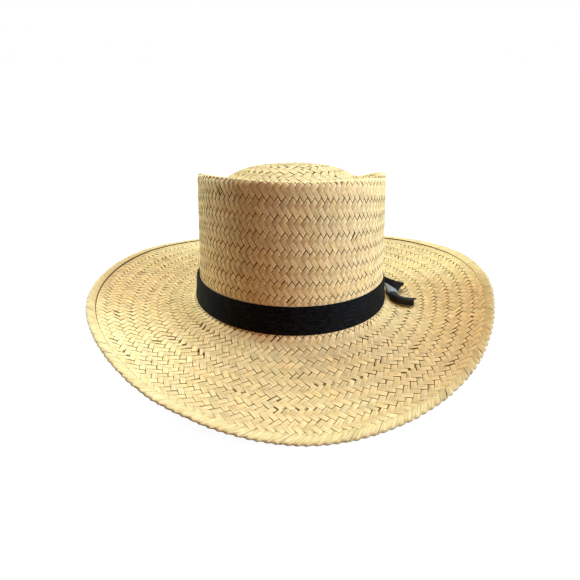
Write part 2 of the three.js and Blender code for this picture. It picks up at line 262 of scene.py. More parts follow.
# Ends of strips reach more or less far out: not before HEM_REACH_FROM, and fully HEM_REACH_OVER on.
HEM_REACH_FROM, HEM_REACH_OVER, HEM_REACH_SPREAD = 5.0, 3.3, 0.16
HEM_OUTLINES, HEM_EDGE_SHADES, HEM_CONTRAST = (0.05, 0.65), (-0.25, 0.5), 0.8
# A station of the path darker than this is on the edge, where the painted shade differs from strip to strip.
HEM_EDGE_BRIGHTNESS = 0.5
SLOPE_REACH = 0.4
# The painted shadow along the fold's inner edge, a thin dark tube: its place, lift and thickness, then its
# spots, sides and thinnest share.
FOLD_SHADOW_AT, FOLD_SHADOW_LIFT, FOLD_SHADOW_THICKNESS = 0.5, 0.36, 1.4
FOLD_SHADOW_SPOTS, FOLD_SHADOW_SIDES, FOLD_SHADOW_THINNEST = 720, 6, 0.03

# ---- the ribbon band ----
BAND_LENGTH = 0.592
BAND_FOOT, BAND_TOP = -0.5, 21.0
BAND_GAP, BAND_THICKNESS = 0.3, 0.9
BAND_ROWS, BAND_SPOTS = 66, 360
RIBS, RIB_RELIEF = 13, 0.15
BAND_EDGE_ROLL, BAND_EDGE_SHARPNESS = 0.5, 14
# height, waves round the hat, start: how the top edge waves, a little
BAND_WAVES = ((0.10, 5, 0.1), (0.07, 11, 0.0))
# How much painted glint the threads on the rib crests get.
BAND_PAINTED_GLINT = 0.09
# The knot gathers the band's top edge down behind it.
BAND_DIP, BAND_DIP_AT, BAND_DIP_SPREAD = 4.5, 99.0, 13.0
# On the wearer's right it stands off the crown.
BAND_OFF, BAND_OFF_AT, BAND_OFF_SPREAD = 1.8, 272.0, 38.0

# ---- the knot and the tails ----
RIBBON_WIDTH = BAND_TOP - BAND_FOOT
RIB_SPACING = RIBBON_WIDTH / RIBS
TAIL_THICKNESS, TAIL_RIB_RELIEF = 0.7, 0.07
KNOT_TURN = 0.25
KNOT_HALF_WIDTH, KNOT_FOOT, KNOT_TOP = 5.0, 1.6, 13.6
KNOT_GAP, KNOT_EDGE, KNOT_BULGE = 0.3, 0.6, 2.0
KNOT_ROWS, KNOT_COLUMNS, KNOT_WAIST, KNOT_SQUARENESS = 41, 49, 0.78, 6
# depth and waves of its folds and of its ribs
KNOT_FOLDS, KNOT_RIBS = (0.22, 3), (0.05, 9)

# The upper tail is folded along its crest, with one half in front and one behind.
# share of its length, then x, y and height of the crest, of the front edge and of the edge behind
UPPER_TAIL = np.array([
    (0.0, 89.0, -5.9, 12.6, 89.3, -7.4, 4.3, 91.6, -2.6, 3.4),
    (0.2, 92.4, -7.2, 10.9, 91.6, -9.9, 2.9, 95.0, -1.6, 2.2),
    (0.4, 96.6, -8.4, 9.2, 94.2, -11.9, 1.6, 98.8, -1.6, 1.2),
    (0.6, 100.8, -9.4, 7.9, 96.7, -13.4, 0.6, 102.6, -2.2, 0.4),
    (0.8, 105.0, -10.2, 6.9, 99.0, -14.8, -0.4, 106.6, -3.2, 0.0),
    (1.0, 109.0, -10.6, 6.1, 101.3, -16.2, -1.2, 110.4, -4.2, -0.4),
])
UPPER_TAIL_LENGTH = 23.0
UPPER_ROWS, UPPER_COLUMNS = 56, 71
FOLD_SOFTNESS = 0.10
# Its halves belly out along a curve that is this far on where the tail starts, and ripple.
UPPER_BELLY, BELLY_FROM = 0.55, 0.1
UPPER_RIPPLE, RIPPLES_ALONG, RIPPLES_ACROSS = 0.18, 1.6, 0.2

# The lower tail is curled into a roll that starts flat beside the knot.
# share of its length, then x, y, height, half width, half thickness, tilt of its flat side
LOWER_TAIL = np.array([
    (0.0, 91.8, -5.9, 4.0, 3.2, 1.2, 22), (0.12, 94.4, -10.8, 2.0, 5.0, 1.4, 18),
    (0.25, 95.4, -16.2, 0.1, 5.3, 1.9, 13), (0.4, 94.8, -22.4, -0.9, 4.6, 2.7, 7),
    (0.55, 94.4, -29.0, -1.1, 3.8, 3.3, 3), (0.68, 96.2, -34.6, -1.2, 3.3, 3.4, 0),
    (0.8, 99.8, -38.8, -1.2, 3.3, 3.4, 0), (0.9, 103.9, -41.4, -1.1, 3.3, 3.3, 0),
    (1.0, 107.9, -42.6, -0.8, 3.1, 3.1, 0),
])
LOWER_TAIL_LENGTH = 46.0
LOWER_ROWS, LOWER_COLUMNS = 96, 91
CURL, CURL_OPENS_AT = 298.0, 250.0
# Shares of its length and of its width between which a pale sheen is painted on, standing in for a
# reflection.
SHEEN_ALONG, SHEEN_ACROSS = (0.02, 0.42), (0.29, 0.86)
SHEEN_SOFTNESS = 0.02
# One corner of its end hangs longer. The power says how late along the tail that begins.
LOOSE_CORNER_AT, LOOSE_CORNER_SPREAD, LOOSE_CORNER, LOOSE_CORNER_POWER = 150.0, 22.0, 2.8, 12
# depth, dents round the roll, shift along it
LOWER_DENTS = ((0.035, 2, 9), (0.02, 5, -14))

# ---- colours and finishes ----
# Light and deep straw colours, and how deep the painted shade of tucks and edges goes.
STRAW_COLOURS = ((0.82, 0.60, 0.29), (0.60, 0.385, 0.155), 0.92)
STRAW_INSIDE_COLOURS = ((0.76, 0.55, 0.265), (0.57, 0.365, 0.15), 0.85)
# The colour of the painted shade where strands are tucked under.
TUCK_SHADE_COLOUR = (0.26, 0.17, 0.06)
STRAW_SPECULAR = 0.11
FIBRE_FINENESS = 1.15
SHADOW_COLOURS = ((0.05, 0.018, 0.002), (0.12, 0.055, 0.008))
BAND_BLACKS, TAIL_BLACKS = (
    ((0.0012, 0.001, 0.0011), (0.004, 0.0036, 0.0036)), ((0.006, 0.005, 0.005), (0.030, 0.025, 0.023)))
BAND_SPECULAR, TAIL_SPECULAR = 0.025, 0.25
THREAD_SCALE, BLOOM_SCALE = 1500.0, 60.0
# The pale colour of the painted sheen on the lower tail and of the painted glints on the band.
PAINTED_SHEEN = (0.28, 0.265, 0.25)

# ---- light, floor and camera ----
# name (right and left as one faces the hat), degrees round from the hat's front towards the wearer's
# left, degrees above the table, strength, spread in degrees, colour
LAMPS = (
    ("overhead", 165, 48, 1.55, 36, (0.68, 1.0, 1.2)),
    ("warm_overhead", 185, 68, 0.76, 36, (1.0, 0.90, 0.60)),
    ("ceiling", 180, 80, 0.5, 110, (0.65, 1.0, 1.15)),
    ("right_window", 77, 21, 4.5, 42, (0.62, 1.0, 1.28)),
    ("front_right_glow", 52, 12, 0.56, 24, (1.0, 0.41, 0.28)),
    ("back_left_window", 230, 21, 3.05, 24, (0.66, 1.0, 1.05)),
)
ROOM_STRENGTH, ROOM_COLOUR = 0.26, (1.0, 0.31, 0.085)
FLOOR_HALF, FLOOR_HEIGHT = 30.0, -0.0006
FLOOR_GREY, FLOOR_SEEN_GREY, FLOOR_GLOW = 0.22, 0.12, 0.95
CAMERA_DISTANCE, CAMERA_HEIGHT = 420.0, 162.0
CAMERA_DOWN, HAT_YAW = 0.372, 0.099
SENSOR_WIDTH, LENS, SIDE_SHIFT = 36.0, 28.738, -0.001724
NEAREST_SEEN = 0.01


# ---- small sums ----

def around(table, column, azimuths):
    """A column of a table with a row every 30 degrees, on a smooth closed curve through its rows."""
    rows = len(table)
    place = np.mod(azimuths, 360.0) * rows / 360.0
    first = np.floor(place).astype(int)
    past = place - first
    before, start, end, after = (table[(first + k) % rows, column] for k in (-1, 0, 1, 2))
    leaving = (end - before) / 2
    arriving = (after - start) / 2
    bend = 3 * (end - start) - 2 * leaving - arriving
    twist = leaving + arriving - 2 * (end - start)
    return start + past * leaving + past ** 2 * bend + past ** 3 * twist


def through(table, x, column=1, level_ends=True):
    """A column of a table against its first, on a smooth curve."""
    xs, ys = table[:, 0], table[:, column]
    slopes = np.gradient(ys, xs)
    if level_ends:
        slopes[[0, -1]] = 0.0
    row = np.clip(np.searchsorted(xs, x) - 1, 0, len(xs) - 2)
    width = xs[row + 1] - xs[row]
    past = (x - xs[row]) / width
    stay = (1 + 2 * past) * (1 - past) ** 2 * ys[row] + past ** 2 * (3 - 2 * past) * ys[row + 1]
    return stay + width * (past * (1 - past) ** 2 * slopes[row] + past ** 2 * (past - 1) * slopes[row + 1])


def lengths_along(points):
    """The distance along a line of points, from the first to each."""
    return np.concatenate([[0], np.cumsum(np.linalg.norm(np.diff(points, axis=0), axis=1))])


def unit(vectors):
    """The same directions, each one long."""
    return vectors / (np.linalg.norm(vectors, axis=-1, keepdims=True) + TINY)


def next_round(turns):
    """For each turn of a ring, the next one along, with the first again after the last."""
    return np.append(turns[1:], turns[0] + 1.0)


def waves(count, share, start=0.0):
    """So many waves over a share from 0 to 1."""
    return np.cos(2 * math.pi * (count * share + start))


def hump(value, middle, spread):
    """1 at the middle, falling off smoothly to either side."""
    return np.exp(-((value - middle) / spread) ** 2)


def step_between(value, start, end):
    """1 between start and end and 0 beyond them, with soft ends."""
    soft = SHEEN_SOFTNESS
    return np.clip((value - start) / soft, 0, 1) * np.clip((end - value) / soft, 0, 1)


# ---- the surface ----

def crown_rings():
    """Rings from the middle of the top to the foot of the wall, one a row:
    half width, half length, shift along y, height, front rise, end dip, share of the rim's bends."""
    share = np.linspace(CENTRE_SHARE, TOP_PROFILE[-1, 0], TOP_RINGS)
    top = (
        RIM_OVAL[0] * share, RIM_OVAL[1] * share, -RIM_LEAN, RIM_HEIGHT + through(TOP_PROFILE, share),
        RIM_FRONT_RISE * share, RIM_END_DIP * share ** 2, share ** 2)
    turn = np.linspace(0, math.pi / 2, RIM_RINGS + 1)[1:]
    inset = RIM_ROUNDING * (np.sin(turn) - 1)
    rim = (
        RIM_OVAL[0] + inset, RIM_OVAL[1] + inset, -RIM_LEAN,
        RIM_HEIGHT - RIM_ROUNDING * (1 - np.cos(turn)), RIM_FRONT_RISE, RIM_END_DIP, 1.0)
    height = np.linspace(RIM_HEIGHT - RIM_ROUNDING, 0, WALL_RINGS + 1)[1:]
    part = height / RIM_HEIGHT
    flare = FOOT_FLARE * np.exp(-height / FLARE_HEIGHT)
    half_width, half_length = (
        foot + (rim_half - foot) * part + flare for foot, rim_half in zip(HEAD_OVAL, RIM_OVAL))
    wall = (
        half_width, half_length, -RIM_LEAN * part, height, RIM_FRONT_RISE * part, RIM_END_DIP * part,
        part ** RIM_BEND_FADE)
    return np.concatenate([np.stack(np.broadcast_arrays(*rings), 1) for rings in (top, rim, wall)])


azimuth = np.arange(SPOTS) * 360.0 / SPOTS
sin_az, cos_az = np.sin(np.radians(azimuth)), np.cos(np.radians(azimuth))


def ring_points(ring):
    half_width, half_length, shift, height, rise, dip, bent = ring
    z = height + rise * cos_az - dip * np.cos(2 * np.radians(azimuth)) + bent * around(RIM_BENDS, 1, azimuth)
    return np.stack([half_width * sin_az, -half_length * cos_az + shift, z], 1)


def brim_rings():
    """Rings of the brim from the foot of the crown to its edge, and their runs."""
    inner, outer = around(BRIM_FALLS, 1, azimuth), around(BRIM_FALLS, 2, azimuth)
    foot = crown_rings()[-1]
    outward = unit(np.stack([sin_az / foot[0], -cos_az / foot[1], np.zeros(SPOTS)], 1))
    point = ring_points(foot)
    runs = BRIM_STEP * np.arange(1, round(BRIM_WIDTH / BRIM_STEP) + 1)
    rings = []
    for run in runs:
        middle = run - BRIM_STEP / 2
        plain = inner + (outer - inner) * middle / BRIM_WIDTH
        fall = np.radians(plain + (TURN_SLOPE - plain) * math.exp(-middle / TURN_LENGTH))
        point = point + outward * (np.cos(fall) * BRIM_STEP)[:, None]
        point[:, 2] -= np.sin(fall) * BRIM_STEP
        rings.append(point.copy())
    return np.array(rings), runs


def even_round(ring):
    """The ring's points moved along it so that they stand at equal distances."""
    closed = np.concatenate([ring, ring[:1]])
    along = lengths_along(closed)
    wanted = np.arange(SPOTS) * along[-1] / SPOTS
    return np.stack([np.interp(wanted, along, closed[:, k]) for k in range(3)], 1)


crown = np.array([ring_points(ring) for ring in crown_rings()])
crown_run = lengths_along(crown[:, SPOTS // 4]) + RIM_OVAL[0] * CENTRE_SHARE
FOOT_RUN = crown_run[-1]
EDGE_RUN = FOOT_RUN + BRIM_WIDTH
brim, brim_run = brim_rings()
raw_runs = np.concatenate([crown_run, FOOT_RUN + brim_run])
raw_grid = np.array([even_round(ring) for ring in np.concatenate([crown, brim])])

# Even steps of run, so that a place is found by its row number.
grid_runs = np.arange(raw_runs[0], EDGE_RUN, RUN_STEP)
nearest = np.clip(np.searchsorted(raw_runs, grid_runs, side="right") - 1, 0, len(raw_runs) - 2)
mix = ((grid_runs - raw_runs[nearest]) / (raw_runs[nearest + 1] - raw_runs[nearest]))[:, None, None]
grid = raw_grid[nearest] * (1 - mix) + raw_grid[nearest + 1] * mix
outward_step = np.gradient(grid, RUN_STEP, axis=0)
round_step = (np.roll(grid, -1, 1) - np.roll(grid, 1, 1)) * SPOTS / 2
normal_grid = unit(np.cross(outward_step, round_step))
ring_length = np.linalg.norm(np.roll(grid, -1, 1) - grid, axis=2).sum(1)


def drift(run, turn):
    """How far the weave's rows have wandered here, in run."""
    places = [DRIFT_STARTS, *(FOOT_RUN + np.array(DRIFT_PLACES)), EDGE_RUN]
    total = np.zeros(np.broadcast(run, turn).shape)
    for k in range(len(DRIFT_PLACES)):
        share = np.interp(run, places[k:k + 3], (0.0, 1.0, 0.0))
        total = total + share * around(ROW_DRIFT, k + 1, np.mod(turn, 1.0) * 360.0)
    return total


def openness(run, turn):
    """How open the weave is at these places: 1 is usual, and less is tighter."""
    places = FOOT_RUN + np.array(OPENNESS_PLACES)
    open_here = np.zeros(np.broadcast(run, turn).shape)
    for k, column in enumerate((1, 2, 3, 3, 4)):
        value = around(OPENNESS, column, np.mod(turn, 1.0) * 360.0)
        open_here = open_here + value * np.interp(run, places, np.eye(len(places))[k])
    return np.maximum(open_here, 0.0)


def sheet(run, turn, lift):
    """Points at these places, lifted off the outer face of the sheet. Past the edge it goes straight on."""
    run, turn, lift = np.broadcast_arrays(run, turn, lift)
    row = (run - grid_runs[0]) / RUN_STEP
    low = np.clip(np.floor(row).astype(int), 0, len(grid_runs) - 2)
    past_row = np.clip(row - low, -STEPS_BEFORE_CENTRE, STEPS_PAST_EDGE)[..., None]
    column = np.mod(turn, 1.0) * SPOTS
    left = np.floor(column).astype(int) % SPOTS
    past_column = (column - np.floor(column))[..., None]
    right = (left + 1) % SPOTS
    near = grid[low, left] * (1 - past_column) + grid[low, right] * past_column
    far = grid[low + 1, left] * (1 - past_column) + grid[low + 1, right] * past_column
    normal = unit(normal_grid[low, left] * (1 - past_column) + normal_grid[low, right] * past_column)
    return near + (far - near) * past_row + normal * lift[..., None]


def wall_run(height):
    """The run of this height on the wall, or of this far below its foot."""
    heights = crown_rings()[-WALL_RINGS:, 3]
    return np.interp(-height, -heights, crown_run[-WALL_RINGS:]) - np.minimum(height, 0)


# ---- from the hat's own frame to the table ----
front_edge = brim[-1, 0, 1]
back_edge = brim[-1, SPOTS // 2, 1]
REST_TILT = math.atan2(REST_AT_BACK - REST_AT_FRONT, back_edge - front_edge)
tilt = Matrix.Rotation(-REST_TILT, 4, "X")


def rest_shift():
    """The shift that puts the brim's edge where the solid's edge is."""
    low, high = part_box("straw_body")
    edge = brim[-1] @ np.array(tilt.to_3x3()).T
    middle = (edge.min(0) + edge.max(0)) / 2
    solid = (low + high) / 2 / MM
    return Vector((solid.x - middle[0], solid.y - middle[1], STRAW_THICKNESS - edge[0, 2]))


to_table = Matrix.Translation(rest_shift()) @ tilt
TURN_IN = np.array(to_table.to_3x3())
SHIFT_IN = np.array(to_table.translation)


# ---- mesh building ----

def mesh_object(name, points, faces, material, uv=None, fibre=None, tint=None):
    """A mesh from points of the hat's frame and quads, with its maps and each point's tint and painted light
    and shade.
    """
    points = (points.reshape(-1, 3) @ TURN_IN.T + SHIFT_IN) * MM
    mesh = bpy.data.meshes.new(name)
    mesh.vertices.add(len(points))
    mesh.vertices.foreach_set("co", points.astype(np.float32).ravel())
    mesh.loops.add(faces.size)
    mesh.loops.foreach_set("vertex_index", faces.astype(np.int32).ravel())
    mesh.polygons.add(len(faces))
    mesh.polygons.foreach_set("loop_start", np.arange(0, faces.size, 4, dtype=np.int32))
    mesh.polygons.foreach_set("use_smooth", np.ones(len(faces), bool))
    for map_name, values in (("OFBake", uv), ("Strand", fibre)):
        if values is not None:
            layer = mesh.uv_layers.new(name=map_name, do_init=False)
            values = values.reshape(-1, 2)[faces.ravel()]
            layer.uv.foreach_set("vector", values.astype(np.float32).ravel())
    if tint is not None:
        colours = mesh.attributes.new("tint_and_painted_light", "FLOAT_COLOR", "POINT")
        colours.data.foreach_set("color", tint.astype(np.float32).ravel())
    mesh.update()
    mesh.validate()
    mesh.materials.append(material)
    made = bpy.data.objects.new(name, mesh)
    bpy.context.scene.collection.objects.link(made)
    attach(made, "root")
    return made


def quads_between(rows, columns, chosen):
    """Quads of a grid of points, only between each of the chosen columns and the next."""
    r, c = np.meshgrid(np.arange(rows - 1), chosen, indexing="ij")
    right = (c + 1) % columns
    quads = [r * columns + c, (r + 1) * columns + c, (r + 1) * columns + right, r * columns + right]
    return np.stack(quads, -1).reshape(-1, 4)


def tube_faces(rows, columns):
    """Quads of a grid of points that closes both ways, the last row and column meeting the first."""
    return quads_between(rows + 1, columns, np.arange(columns)) % (rows * columns)


def strand_faces(rows, section):
    """Quads of one strip with this section, apart where the section has two points in one place."""
    joined = np.flatnonzero(np.abs(np.diff(section[:, :2], axis=0)).sum(1) > TINY)
    return quads_between(rows, len(section), joined)


def strips(one, count, first, per):
    """The quads of count strips, each like the first and with this many points."""
    return (first + np.arange(count)[:, None, None] * per + one[None]).reshape(-1, 4)


def cells(first, count, side, rows, columns):
    """A map for count strips, each in its own cell of a square with this many cells a side."""
    number = first + np.arange(count)
    cell = np.stack([number % side, number // side], 1)[:, None, None, :]
    edges = (CELL_MARGIN, 1 - CELL_MARGIN)
    corner = np.stack(np.meshgrid(np.linspace(*edges, columns), np.linspace(*edges, rows)), -1)
    return ((cell + corner[None]) / side).reshape(-1, 2)


def side_for(count):
    """The cells a side of the smallest square that holds so many."""
    return math.ceil(math.sqrt(count))


def closed_sheet(front, behind):
    """Points and quads of a closed sheet between two grids of points."""
    wrap = np.concatenate([front, behind[:, ::-1]], axis=1)
    rows, columns = wrap.shape[:2]
    i = np.arange(front.shape[1] - 1)
    cap = np.stack([i, i + 1, columns - 2 - i, columns - 1 - i], 1)
    last = (cap + (rows - 1) * columns)[:, ::-1]
    return wrap, np.concatenate([quads_between(rows, columns, np.arange(columns)), cap, last])


# ---- the weave ----

def next_crossings(turns, count, rng):
    """The crossings half a row on. Each lies between two of the last; new strands come in at gaps."""
    middles = (turns + next_round(turns)) / 2
    added = count - len(middles)
    if added > 0:
        gaps = next_round(middles) - middles
        order = np.argsort(-(gaps * rng.uniform(*GAP_LUCK, len(gaps))))
        picked, taken = [], np.zeros(len(gaps), bool)
        for i in order:
            if len(picked) == added:
                break
            if not (taken[i - 1] or taken[(i + 1) % len(gaps)]) or added > len(gaps) // 3:
                picked.append(i)
                taken[i] = True
        middles = np.concatenate([middles, middles[picked] + gaps[picked] / 2])
    middles = np.sort(middles)
    for _ in range(EVENING_STEPS):
        before = np.append(middles[-1] - 1.0, middles[:-1])
        middles = middles + EVENING_SHARE * (before + next_round(middles) - 2 * middles)
    return middles


def weave_bands(edges, counts, first_turns, rng):
    """For each band, its start, its thickness, and the turns of its two rows of crossings."""
    bands, turns = [], first_turns
    for start, thick, count in zip(edges, np.diff(edges), counts):
        spacing = 1.0 / len(turns)
        upper = next_crossings(turns, count, rng)
        upper = np.sort(upper + rng.normal(0, CROSSING_SPREAD * spacing, len(upper)))
        turns = (upper + next_round(upper)) / 2
        bands.append((start, thick, upper, turns))
    return bands


def strand_tints(count, rng, lively):
    """A tint for each strand: mostly light, some tan, a few greenish, pink or dark."""
    value = 1.0 + lively * rng.normal(0, LIGHTNESS_SPREAD, count)
    warm = lively * rng.normal(0, WARMTH_SPREAD, count)
    kind = rng.random(count)
    dark, green, pink = (
        np.where((kind > start) & (kind < end), much, usual)
        for (start, end, much), usual in ((DARK_KIND, 1.0), (GREEN_KIND, 0.0), (PINK_KIND, 0.0)))
    hues = (
        np.outer(warm, WARM_TINT) + np.outer(green, GREEN_TINT) + np.outer(pink, PINK_TINT))
    return (value * dark)[:, None] * (1 + hues)


def floats(part, run0, run1, turn0, turn1, across_turns, shape, section, outer, rng):
    """One band's floats, each about from (run0, turn0) to (run1, turn1): points, fibres, and tints with
    painted light and shade.
    """
    stations, lifts, shares, tuck_shades, length_painted_light, outlined = shape.T
    steepness, quiet_outline, thin_share, faint_outline, contrast = LOOKS[part]
    across, crown_profile, width_painted_light, edge_painted_shade = section.T
    count = len(turn0)
    each = (count, 1, 1)
    height, middle_run = run1 - run0, (run0 + run1) / 2
    row = np.clip((middle_run - grid_runs[0]) / RUN_STEP, 0, len(grid_runs) - 1).astype(int)
    around_mm = ring_length[row]
    middle_mm = (turn0 + turn1) / 2 * around_mm
    shift = (turn1 - turn0) * around_mm * steepness
    length = np.hypot(shift, height)
    room = across_turns * around_mm * height / length
    width = room * (1 - STRAND_GAP) * rng.uniform(*FILLS, count)
    width = np.minimum(width, WIDEST_STRAND * rng.uniform(*WIDEST_LUCK, count))
    open_here = openness(middle_run, (turn0 + turn1) / 2) * rng.uniform(*OPEN_LUCK, count)
    apart = np.minimum(open_here, MOST_OPEN)
    thin = rng.random(count) < thin_share
    width = np.where(thin, width * rng.uniform(*THIN_LUCK, count), width)

    # Where each point is, from the middle of its float: along, as a share of the way between the
    # crossings, and across, in millimetres.
    at_open_end = np.where(stations > OPEN_END, 1.0, 0.0) - np.where(stations < 1 - OPEN_END, 1.0, 0.0)
    drawn_back = END_DRAWN_BACK * (1 - apart)
    along = (stations + drawn_back[:, None] * at_open_end)[:, :, None] - 0.5
    shares = 1 - (1 - shares) * apart[:, None]
    across_mm = across * (width / 2)[:, None, None] * shares[:, :, None]
    # Each end is cut along the strand that crosses it.
    along_run, along_turn = height / length, shift / length
    slant = (along_turn ** 2 - along_run ** 2) / (2 * along_turn * along_run)
    slant = np.clip(slant, -STEEPEST_CUT, STEEPEST_CUT)
    wander = rng.normal(0, WANDER_SPREAD, each) * along
    run = middle_run + along * height + across_mm * (slant * along_run - along_turn)[:, None, None]
    mm_round = middle_mm[:, None, None] + along * shift[:, None, None]
    mm_round = mm_round + across_mm * (slant * along_turn)[:, None, None]
    mm_round = mm_round + (across_mm + wander) * along_run[:, None, None]
    lift = lifts[:, None] + crown_profile + rng.normal(0, LIFT_SPREAD, each)
    lift = lift + across_mm * rng.normal(0, ROLL_SPREAD, each)
    if not outer:
        lift = -INNER_FACE - INNER_RELIEF * lift
    turn = mm_round / around_mm
    points = sheet(run + drift(run, turn), turn, lift)
    fibre_place = rng.uniform(0, FIBRE_FIELD, (count, 2))[:, None, None, :]
    fibre = fibre_place + np.stack(np.broadcast_arrays(along * length[:, None, None], across_mm), -1)

    # Tints: painted shade where a strand is tucked away or at an edge, more so where the weave is open,
    # painted highlights on edges and along the floats, and painted light and shade round the hat.
    lean_clear = np.clip(waves(1, turn0 - SAME_OUTLINE_AT), 0, 1)
    faint = faint_outline + (1 - faint_outline) * lean_clear
    shown = np.clip(open_here, *OUTLINE_LIMITS) * np.where(shift > 0, 1.0, faint)
    shown = ((quiet_outline + (1 - quiet_outline) * outlined) * shown[:, None])[:, :, None] * contrast
    tuck_shade = tuck_shades[:, None] * (TUCK_SHADE_WHEN_SHUT + (1 - TUCK_SHADE_WHEN_SHUT) * apart[:, None, None])
    painted_light = (1 + (width_painted_light - 1) * shown) * length_painted_light[:, None]
    # Painted light and shade round the hat, and a painted highlight over the rim.
    painted_light_here = TOP_TONE
    if part in PAINTED_LIGHT_COLUMNS:
        painted_light_here = np.stack([around(STRAW_PAINTED_LIGHT, k, turn0 * 360) for k in PAINTED_LIGHT_COLUMNS[part]], 1)
    painted_light_here = painted_light_here + RIM_PAINTED_HIGHLIGHT * hump(middle_run, wall_edges[0], RIM_HIGHLIGHT_SPREAD)
    tint = np.empty((*across_mm.shape, 4))
    tint[..., :3] = (strand_tints(count, rng, contrast) * painted_light_here)[:, None, None, :] * painted_light[..., None]
    tint[..., 3] = np.clip(np.maximum(tuck_shade, edge_painted_shade * shown), 0, 1)
    return points, fibre, tint


def woven_piece(name, part, bands, first_leans_left, outer, rng):
    """All the floats of these bands on one face of the sheet, as one mesh."""
    shape, section = (FLOAT_SHAPE, STRAND_SECTION) if outer else (INNER_SHAPE, INNER_SECTION)
    ridged = RIDGED_SHAPE if outer else shape
    if outer and part == "brim":
        shape = ridged = BRIM_SHAPE
    open_first = shape[::-1] * (-1, 1, 1, 1, 1, 1) + (1, 0, 0, 0, 0, 0)
    clouds, fibres, tints, quads, corners = [], [], [], [], []
    side = side_for(sum(len(band[2]) for band in bands))
    places = drawn = 0
    for k, (start, thick, upper, lower) in enumerate(bands):
        face_leans_left = (k % 2 == 0) == first_leans_left
        leans_left = face_leans_left == outer
        gaps = next_round(upper) - upper
        last_gaps = np.roll(gaps, 1)
        near_gap = EACH_GAP * (gaps + last_gaps) + NARROWER_GAP * np.minimum(gaps, last_gaps)
        turn1 = np.append(lower[-1] - 1.0, lower[:-1]) if leans_left else lower
        facing_out = section if leans_left else section[::-1] * (-1, 1, 1, 1)
        this_shape = open_first if face_leans_left else ridged
        points, fibre, tint = floats(
            part, start + thick * 0.25, start + thick * 0.75, upper, turn1, near_gap,
            this_shape, facing_out, outer, rng)
        clouds.append(points.reshape(-1, 3))
        fibres.append(fibre.reshape(-1, 2))
        tints.append(tint.reshape(-1, 4))
        one = strand_faces(len(this_shape), section)
        per = len(this_shape) * len(section)
        quads.append(strips(one if outer else one[:, ::-1], len(upper), places, per))
        corners.append(cells(drawn, len(upper), side, len(this_shape), len(section)))
        places += len(clouds[-1])
        drawn += len(upper)
    return mesh_object(
        name, np.concatenate(clouds), np.concatenate(quads), straw if outer else straw_inside,
        uv=np.concatenate(corners), fibre=np.concatenate(fibres), tint=np.concatenate(tints))


# ---- materials ----

def set_sockets(tree, node, sockets):
    """Give each of the node's inputs its value, or a link where another node's output is given."""
    for socket, value in sockets.items():
        if isinstance(value, bpy.types.NodeSocket):
            tree.links.new(value, node.inputs[socket])
        else:
            node.inputs[socket].default_value = value


def add_node(tree, kind, sockets, **settings):
    """A new shader node with these settings, and these values or links at its inputs."""
    node = tree.nodes.new("ShaderNode" + kind)
    for setting, value in settings.items():
        setattr(node, setting, value)
    set_sockets(tree, node, sockets)
    return node


def colour_mix(tree, share, first, second, blend="MIX"):
    """The colour between two colours, which are values or another node's outputs."""
    colours = {
        name: (*value, 1) if isinstance(value, tuple) else value
        for name, value in (("A", first), ("B", second))}
    mixer = add_node(tree, "Mix", {}, data_type="RGBA", blend_type=blend)
    set_sockets(tree, mixer, {"Factor": share, **colours})
    return mixer.outputs["Result"]


def new_group(name, inputs, outputs):
    """A shader node group with these inputs and their usual values, and these outputs."""
    group = bpy.data.node_groups.new(name, "ShaderNodeTree")
    for label, usual in inputs.items():
        kind = "NodeSocketColor" if isinstance(usual, tuple) else "NodeSocketFloat"
        group.interface.new_socket(label, in_out="INPUT", socket_type=kind).default_value = usual
    for label, kind in outputs.items():
        group.interface.new_socket(label, in_out="OUTPUT", socket_type=kind)
    return group, group.nodes.new("NodeGroupInput").outputs, group.nodes.new("NodeGroupOutput")


def palm_strand_group():
    """One palm strand: its colour from its fibres, its own tint and painted light and shade, its roughness
    and its relief.
    """
    group, given, out = new_group(
        "palm_strand",
        {"Light": (0.8, 0.6, 0.3, 1), "Deep": (0.6, 0.4, 0.15, 1), "Painted Shade Depth": 1.0, "Fineness": 1.0},
        {"Colour": "NodeSocketColor", "Roughness": "NodeSocketFloat", "Fibre": "NodeSocketFloat"})
    place = group.nodes.new("ShaderNodeUVMap")
    place.uv_map = "Strand"
    stretch = add_node(
        group, "VectorMath", {0: place.outputs["UV"], 1: (0.10, 1.0, 1.0)}, operation="MULTIPLY")
    fine = add_node(
        group, "TexNoise",
        {"Vector": stretch.outputs[0], "Scale": given["Fineness"], "Detail": 3.0}, noise_dimensions="2D")
    broad = add_node(
        group, "TexNoise",
        {"Vector": place.outputs["UV"], "Scale": 0.22, "Detail": 2.0}, noise_dimensions="2D")
    own = add_node(group, "Attribute", {}, attribute_name="tint_and_painted_light")
    ramp = add_node(group, "MapRange", {"Value": fine.outputs["Fac"], "From Min": 0.30, "From Max": 0.58})
    fibres = colour_mix(group, ramp.outputs["Result"], given["Deep"], given["Light"])
    tinted = colour_mix(group, 1.0, fibres, own.outputs["Color"], "MULTIPLY")
    shade = add_node(group, "MapRange", {
        "Value": own.outputs["Alpha"], "From Min": 0.15, "From Max": 1.0, "To Max": given["Painted Shade Depth"]})
    dark = colour_mix(group, 1.0, given["Deep"], TUCK_SHADE_COLOUR, "MULTIPLY")
    rough = add_node(group, "MapRange", {"Value": broad.outputs["Fac"], "To Min": 0.44, "To Max": 0.66})
    set_sockets(group, out, {
        "Colour": colour_mix(group, shade.outputs["Result"], tinted, dark),
        "Roughness": rough.outputs["Result"], "Fibre": fine.outputs["Fac"]})
    return group


